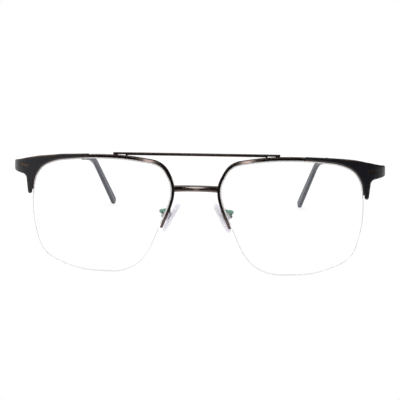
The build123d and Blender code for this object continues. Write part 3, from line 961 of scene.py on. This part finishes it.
# %% Acetate
acetate, tree = new_finish("cellulose acetate, tumbled")
place = add_node(tree, "ShaderNodeTexCoord")
marble = add_node(
    tree,
    "ShaderNodeTexNoise",
    {"Scale": 1 / (7 * mm), "Detail": 3, "Distortion": 1.5},
    {"Vector": place.outputs["Object"]},
)
tone = add_node(tree, "ShaderNodeMix", {"data_type": "RGBA"}, {0: marble.outputs["Fac"]})
tone.inputs[6].default_value = linear("#171d2b")
tone.inputs[7].default_value = linear("#212939")
polish = add_node(
    tree,
    "ShaderNodeTexNoise",
    {"Scale": 1 / (2 * mm), "Detail": 1},
    {"Vector": place.outputs["Object"]},
)
rough = add_node(
    tree,
    "ShaderNodeMapRange",
    {"To Min": 0.3, "To Max": 0.36},
    {"Value": polish.outputs["Fac"]},
)
relief = add_node(
    tree,
    "ShaderNodeBump",
    {"Strength": 0.04, "Distance": 0.02 * mm},
    {"Height": polish.outputs["Fac"]},
)
plastic = add_node(
    tree,
    "ShaderNodeBsdfPrincipled",
    {
        "IOR": 1.48,
        "Specular IOR Level": 0.44,
        "Subsurface Weight": 0.15,
        "Subsurface Radius": (1, 1, 1),
        "Subsurface Scale": 0.6 * mm,
    },
    {"Base Color": tone.outputs[2], "Roughness": rough.outputs[0], "Normal": relief.outputs[0]},
)
add_node(tree, "ShaderNodeOutputMaterial", {}, {"Surface": plastic.outputs[0]})
put_on(acetate, "temple_tip")

# %% [markdown]
# # Studio
# A product photograph on pure white has a white sweep behind and below the object and a dark room
# behind the camera. The white is what the camera sees, and shiny metal shows both: white in whatever
# looks up or down, a softer white toward the camera's left, and dark in whatever looks at the room. The
# world does this without more light on the object: rays from the camera and through glass see white,
# glossy rays see the room by where they go, and all others see a plain white that fills the shadows.
# The paper floor ends in front of the glasses, so their faces look past it into the room.
#
# The room is a dark grey with soft patches. Each patch has a direction, and it grows from nothing to
# its strength as a ray comes closer to that direction: the dot product of the two says how close. In
# front stand a slim upright strip light, full above the level of the glasses, faint below it and dark
# between, and a low glow that reaches the lower ends of the rims.

# %% Room with soft patches
room_grey = 0.03
strip_middle, strip_outer, strip_inner, strip_strength = -0.045, 0.04, 0.02, 4
world = bpy.data.worlds.new("studio")
bpy.context.scene.world = world
world.use_nodes = True
tree = world.node_tree
tree.nodes.clear()
way = add_node(tree, "ShaderNodeTexCoord")
split = add_node(tree, "ShaderNodeSeparateXYZ", {}, {0: way.outputs["Generated"]})
views = {
    "back": ((-0.4, 1, 0), 0.2, 0.6, 0.04),
    "above": ((-0.35, 0, 1), 0.68, 0.95, 1.0),
    "below": ((0, 0, -1), 0.26, 0.36, 1.0),
    "left": ((-1, 0.25, 0), 0.3, 0.5, 0.62),
}
room = add_node(tree, "ShaderNodeValue")
room.outputs[0].default_value = room_grey
for toward, dark, bright, strength in views.values():
    lean = add_node(
        tree,
        "ShaderNodeVectorMath",
        {"operation": "DOT_PRODUCT", 1: toward},
        {0: way.outputs["Generated"]},
    )
    part = add_node(
        tree,
        "ShaderNodeMapRange",
        {"interpolation_type": "SMOOTHSTEP", "From Min": dark, "From Max": bright, "To Max": strength},
        {"Value": lean.outputs["Value"]},
    )
    room = add_node(
        tree,
        "ShaderNodeMath",
        {"operation": "MAXIMUM"},
        {0: room.outputs[0], 1: part.outputs[0]},
    )
print("patches in the room:", ", ".join(views))

# %% Strip light and low glow in front
off_middle = add_node(
    tree,
    "ShaderNodeMath",
    {"operation": "SUBTRACT", 1: strip_middle},
    {0: split.outputs["X"]},
)
off_strip = add_node(tree, "ShaderNodeMath", {"operation": "ABSOLUTE"}, {0: off_middle.outputs[0]})
strip = add_node(
    tree,
    "ShaderNodeMapRange",
    {
        "interpolation_type": "SMOOTHSTEP",
        "From Min": strip_outer,
        "From Max": strip_inner,
        "To Max": strip_strength,
    },
    {"Value": off_strip.outputs[0]},
)
under = add_node(
    tree,
    "ShaderNodeMapRange",
    {"From Min": -0.155, "From Max": -0.165, "To Max": 0.3},
    {"Value": split.outputs["Z"]},
)
over = add_node(
    tree,
    "ShaderNodeMapRange",
    {"From Min": 0.1, "From Max": 0.13},
    {"Value": split.outputs["Z"]},
)
ends = add_node(
    tree,
    "ShaderNodeMath",
    {"operation": "MAXIMUM"},
    {0: under.outputs[0], 1: over.outputs[0]},
)
in_front = add_node(
    tree, "ShaderNodeMapRange", {"From Min": -0.9, "From Max": -0.95}, {"Value": split.outputs["Y"]}
)
shape = add_node(
    tree,
    "ShaderNodeMath",
    {"operation": "MULTIPLY"},
    {0: ends.outputs[0], 1: in_front.outputs[0]},
)
window = add_node(
    tree,
    "ShaderNodeMath",
    {"operation": "MULTIPLY"},
    {0: strip.outputs[0], 1: shape.outputs[0]},
)
low_part = add_node(
    tree,
    "ShaderNodeMapRange",
    {"From Min": -0.2, "From Max": -0.27, "To Max": 0.6},
    {"Value": split.outputs["Z"]},
)
low_glow = add_node(
    tree,
    "ShaderNodeMath",
    {"operation": "MULTIPLY"},
    {0: low_part.outputs[0], 1: in_front.outputs[0]},
)
for source in (window, low_glow):
    room = add_node(
        tree,
        "ShaderNodeMath",
        {"operation": "MAXIMUM"},
        {0: room.outputs[0], 1: source.outputs[0]},
    )
print("strip light at", strip_middle, "in X, strength", strip_strength)

# %% What each kind of ray sees
light = add_node(tree, "ShaderNodeLightPath")
shown = add_node(
    tree,
    "ShaderNodeMath",
    {"operation": "MAXIMUM"},
    {0: light.outputs["Is Camera Ray"], 1: light.outputs["Is Transmission Ray"]},
)
glossy = add_node(tree, "ShaderNodeBackground", {"Color": (1, 1, 1, 1)}, {"Strength": room.outputs[0]})
fill = add_node(tree, "ShaderNodeBackground", {"Color": (1, 1, 1, 1), "Strength": 1})
white = add_node(tree, "ShaderNodeBackground", {"Color": (1, 1, 1, 1), "Strength": 1})
lit = add_node(
    tree,
    "ShaderNodeMixShader",
    {},
    {0: light.outputs["Is Glossy Ray"], 1: fill.outputs[0], 2: glossy.outputs[0]},
)
seen = add_node(
    tree,
    "ShaderNodeMixShader",
    {},
    {0: shown.outputs[0], 1: lit.outputs[0], 2: white.outputs[0]},
)
add_node(tree, "ShaderNodeOutputWorld", {}, {"Surface": seen.outputs[0]})
print("world has", len(tree.nodes), "nodes")

# %% [markdown]
# The floor is matt white paper. For the camera it is mostly its own even white, with a share of real
# paper left in, so that the soft shadow under the lenses and tips stays. It lies 0.02 mm under the
# glasses, to clear them.

# %% Paper
even_share = 0.8
paper, tree = new_finish("paper, matt white")
place = add_node(tree, "ShaderNodeTexCoord")
fibre = add_node(
    tree,
    "ShaderNodeTexNoise",
    {"Scale": 1 / (0.5 * mm), "Detail": 3},
    {"Vector": place.outputs["Object"]},
)
tone = add_node(tree, "ShaderNodeMix", {"data_type": "RGBA"}, {0: fibre.outputs["Fac"]})
tone.inputs[6].default_value = linear("#f4f4f4")
tone.inputs[7].default_value = linear("#fafafa")
sheet = add_node(tree, "ShaderNodeBsdfDiffuse", {}, {"Color": tone.outputs[2]})
even = add_node(tree, "ShaderNodeEmission", {"Color": (1, 1, 1, 1), "Strength": 1})
light = add_node(tree, "ShaderNodeLightPath")
glassy = add_node(
    tree,
    "ShaderNodeMath",
    {"operation": "MAXIMUM"},
    {0: light.outputs["Is Camera Ray"], 1: light.outputs["Is Transmission Ray"]},
)
any_seen = add_node(
    tree,
    "ShaderNodeMath",
    {"operation": "MAXIMUM"},
    {0: glassy.outputs[0], 1: light.outputs["Is Glossy Ray"]},
)
share = add_node(
    tree,
    "ShaderNodeMath",
    {"operation": "MULTIPLY", 1: even_share},
    {0: any_seen.outputs[0]},
)
surface = add_node(
    tree,
    "ShaderNodeMixShader",
    {},
    {0: share.outputs[0], 1: sheet.outputs[0], 2: even.outputs[0]},
)
add_node(tree, "ShaderNodeOutputMaterial", {}, {"Surface": surface.outputs[0]})
print(paper.name, "is", even_share, "even white where it is seen")

# %% Floor
floor_side, floor_front, floor_back, floor_drop = 0.6, -0.11, 0.9, 0.02 * mm
corners = [
    (-floor_side, floor_front),
    (floor_side, floor_front),
    (floor_side, floor_back),
    (-floor_side, floor_back),
]
floor_form = bmesh.new()
floor_form.faces.new([floor_form.verts.new((x, y, -floor_drop)) for x, y in corners])
floor_mesh = bpy.data.meshes.new("floor")
floor_form.to_mesh(floor_mesh)
floor_form.free()
floor_mesh.materials.append(paper)
floor = bpy.data.objects.new("floor", floor_mesh)
bpy.context.scene.collection.objects.link(floor)
print("floor:", 2 * floor_side, "m wide, from", floor_front, "to", floor_back, "m in Y")

# %% [markdown]
# Three soft lamps: a broad one above and a little behind, which draws the light lines along every upper
# edge, and one at each side of the front. The one at the camera's left is stronger and lifts the enamel
# there off black.


# %% Lamps
def soft_lamp(name, place, aim, size, power):
    """Square area lamp at a place, turned to a point."""
    data = bpy.data.lights.new(name, "AREA")
    data.shape = "SQUARE"
    data.size = size
    data.energy = power
    lamp = bpy.data.objects.new(name, data)
    lamp.location = place
    lamp.rotation_euler = (Vector(aim) - Vector(place)).to_track_quat("-Z", "Y").to_euler()
    lamp.visible_glossy = name == "top_lamp"
    bpy.context.scene.collection.objects.link(lamp)
    print(name, "gives", power, "W")


soft_lamp("top_lamp", (0, 0.1, 0.7), (0, 0, 0), 0.7, 2.6)
soft_lamp("left_lamp", (-0.7, -0.45, 0.4), (0, 0, 0.02), 0.5, 1.0)
soft_lamp("right_lamp", (0.7, -0.35, 0.35), (0, 0, 0.02), 0.4, 0.5)

bpy.context.scene.view_settings.view_transform = "Standard"

# %% Finish
bpy.context.view_layer.update()
